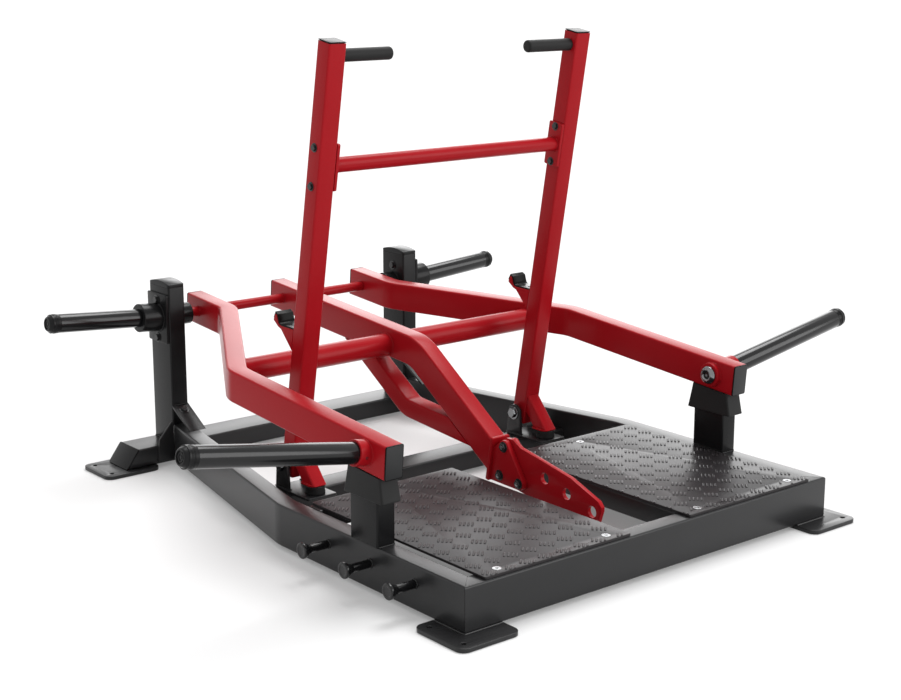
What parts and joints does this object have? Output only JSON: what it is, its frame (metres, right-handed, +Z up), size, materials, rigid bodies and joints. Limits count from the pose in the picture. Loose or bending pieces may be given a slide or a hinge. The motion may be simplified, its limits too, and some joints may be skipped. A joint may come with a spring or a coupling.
{
  "type": "belt squat machine",
  "caption": "Belt squat machine with standing platforms, a plate-loaded lever with a belt hitch, a hinged handle frame and storage horns.",
  "frame": {"origin": "centre of the machine's outer box, on the floor", "axes": "+Z up, -Y towards the front edge of the standing platforms, +X to the right hand of a viewer who faces the front beam"},
  "size_m": [2.123, 1.641, 1.2042],
  "materials": {
    "red_paint": "satin powder coat",
    "black_paint": "satin powder coat",
    "tread_plate": "matt powder coat with raised tread bars",
    "black_plastic": "smooth moulded",
    "rubber": "matt",
    "bright_steel": "bright zinc"
  },
  "bodies": {
    "base": {"front_beam": "black_paint", "rear_beam": "black_paint", "mid_beam": "black_paint", "left_rail": "black_paint", "right_rail": "black_paint", "left_platform_frame": "black_paint", "right_platform_frame": "black_paint", "left_platform": "tread_plate", "right_platform": "tread_plate", "left_stand": "black_paint", "right_stand": "black_paint", "left_stand_cap": "rubber", "right_stand_cap": "rubber", "left_post": "black_paint", "right_post": "black_paint", "left_post_cap": "black_plastic", "right_post_cap": "black_plastic", "left_storage_flange": "black_paint", "right_storage_flange": "black_paint", "left_storage_horn": "black_paint", "right_storage_horn": "black_paint", "left_storage_horn_cap": "black_plastic", "right_storage_horn_cap": "black_plastic", "left_shaft_bearing": "bright_steel", "right_shaft_bearing": "bright_steel", "left_frame_bracket": "black_paint", "right_frame_bracket": "black_paint", "left_frame_pivot_bolt": "bright_steel", "right_frame_pivot_bolt": "bright_steel", "left_bumper": "rubber", "right_bumper": "rubber", "left_front_band_peg": "black_paint", "left_middle_band_peg": "black_paint", "left_rear_band_peg": "black_paint"},
    "lever": {"centre_lever": "red_paint", "lever_branch": "red_paint", "pivot_shaft": "bright_steel", "tip_clamp": "red_paint", "tip_plate": "red_paint", "left_arm": "red_paint", "right_arm": "red_paint", "left_cross_tube": "red_paint", "right_cross_tube": "red_paint", "left_front_horn": "black_paint", "right_front_horn": "black_paint", "left_front_horn_cap": "black_plastic", "right_front_horn_cap": "black_plastic", "left_horn_bolt": "bright_steel", "right_horn_bolt": "bright_steel"},
    "handle_frame": {"cross_bar": "red_paint", "left_upright": "red_paint", "right_upright": "red_paint", "left_grip": "rubber", "right_grip": "rubber", "left_brace": "red_paint", "right_brace": "red_paint"}
  },
  "joints": [
    {"name": "lever_pivot", "type": "hinge", "parent": "base", "child": "lever", "pos_m": [0, 0.7455, 0.4133], "axis": [-1, 0, 0], "range_deg": [0, 26]},
    {"name": "handle_frame_pivot", "type": "hinge", "parent": "base", "child": "handle_frame", "pos_m": [0, 0.1485, 0.128], "axis": [-1, 0, 0], "range_deg": [0, 16]}
  ]
}
